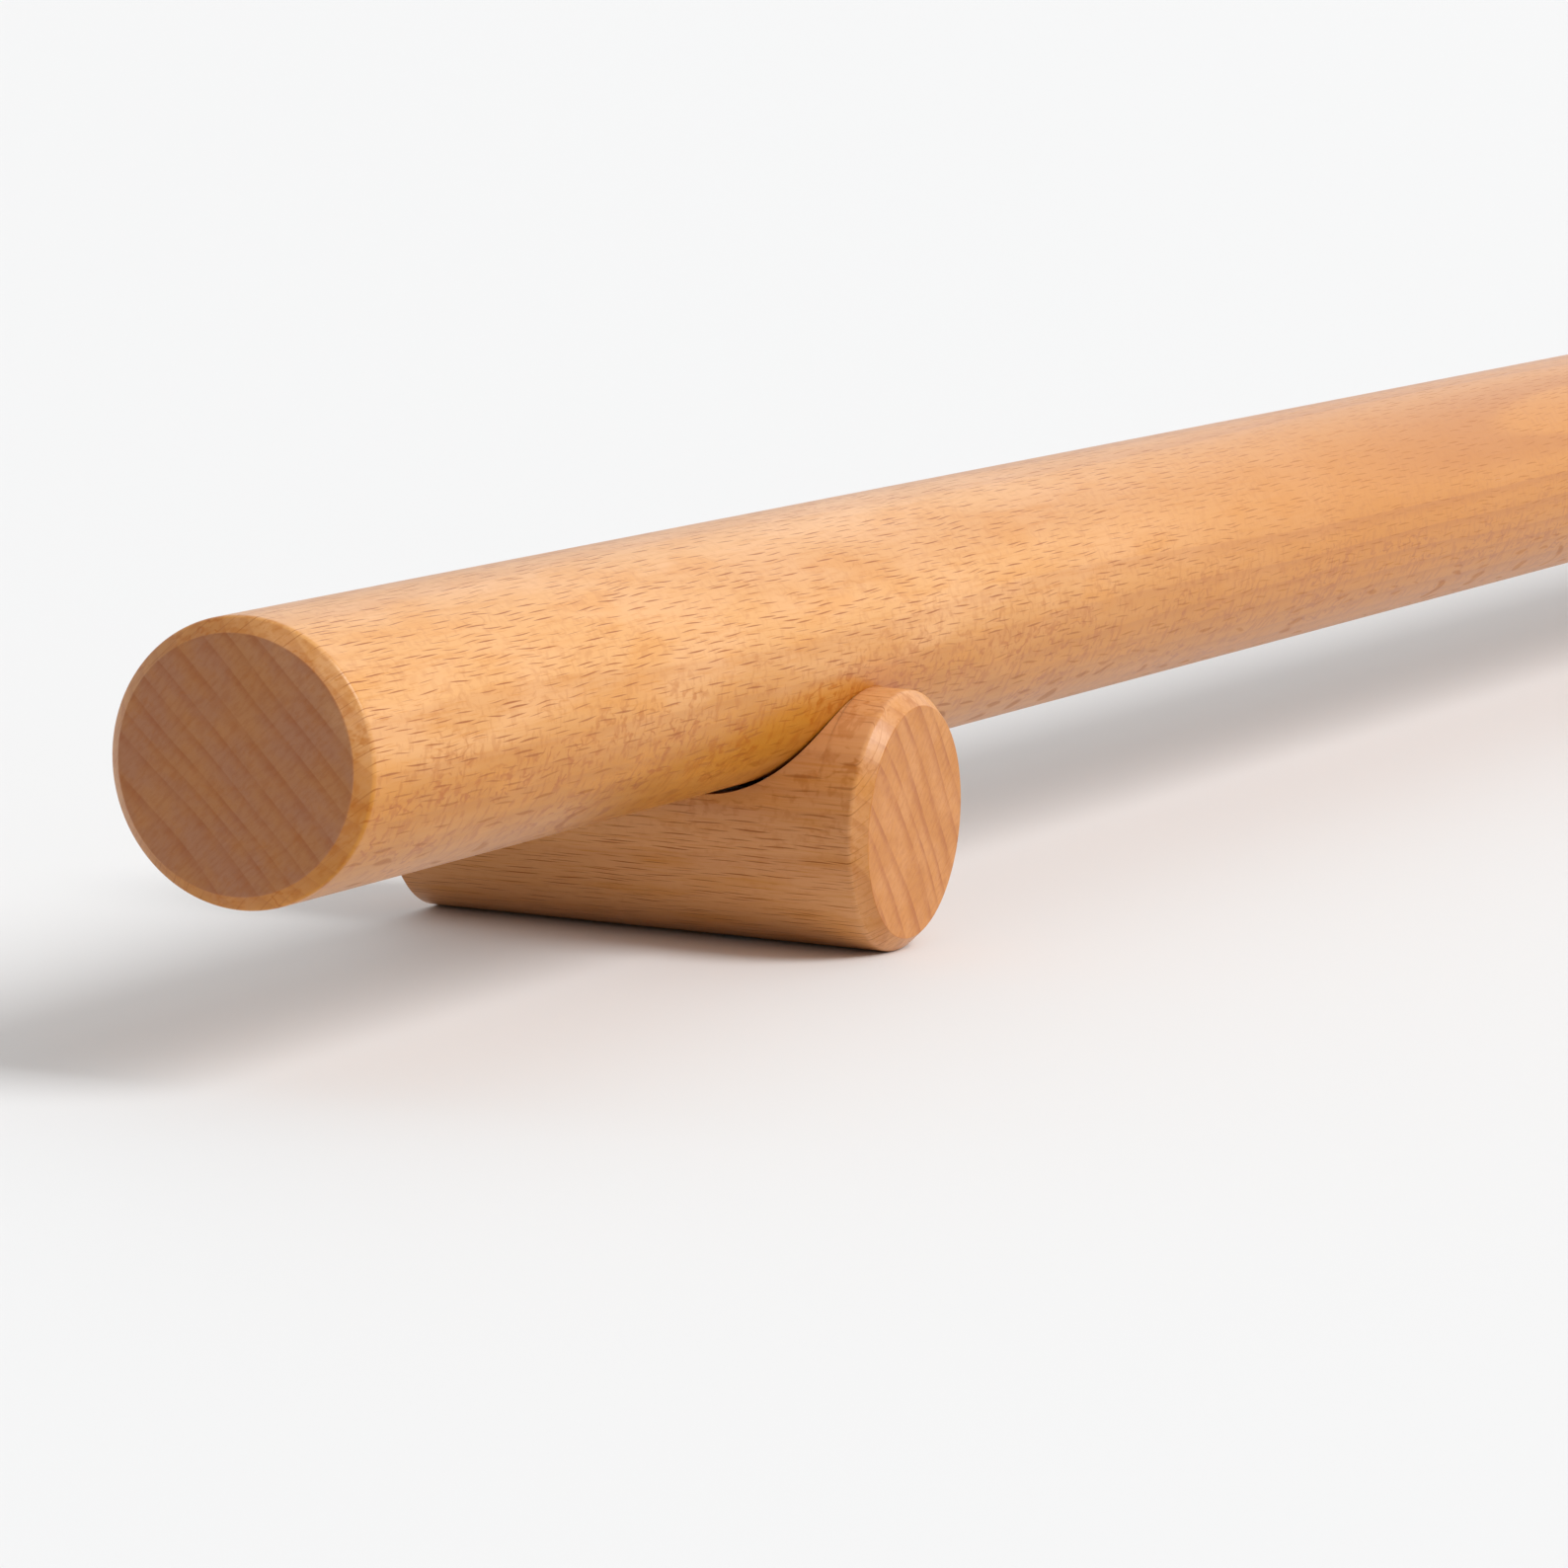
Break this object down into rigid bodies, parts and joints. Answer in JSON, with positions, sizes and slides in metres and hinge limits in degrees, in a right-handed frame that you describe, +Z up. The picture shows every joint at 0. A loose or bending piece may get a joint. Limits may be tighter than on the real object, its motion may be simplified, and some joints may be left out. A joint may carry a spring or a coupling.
{
  "type": "stair handrail length",
  "caption": "Round beech handrail length lying across round wall pegs of the same bar, seated in milled saddles and held by hidden screws, for fixing along a stair wall.",
  "frame": {"origin": "on the surface that the pegs rest on, halfway along the rail and halfway along the pegs", "axes": "+X along the rail, +Y from the pegs' fronts towards the wall, +Z up"},
  "size_m": [1.2, 0.09, 0.073],
  "materials": {
    "rail_beech": "satin lacquer",
    "peg_beech": "satin lacquer",
    "screw_steel": "zinc plated"
  },
  "bodies": {
    "root": {"rail": "rail_beech", "wall_peg_left": "peg_beech", "wall_peg_right": "peg_beech", "rail_screw_left": "screw_steel", "rail_screw_right": "screw_steel"}
  },
  "joints": []
}
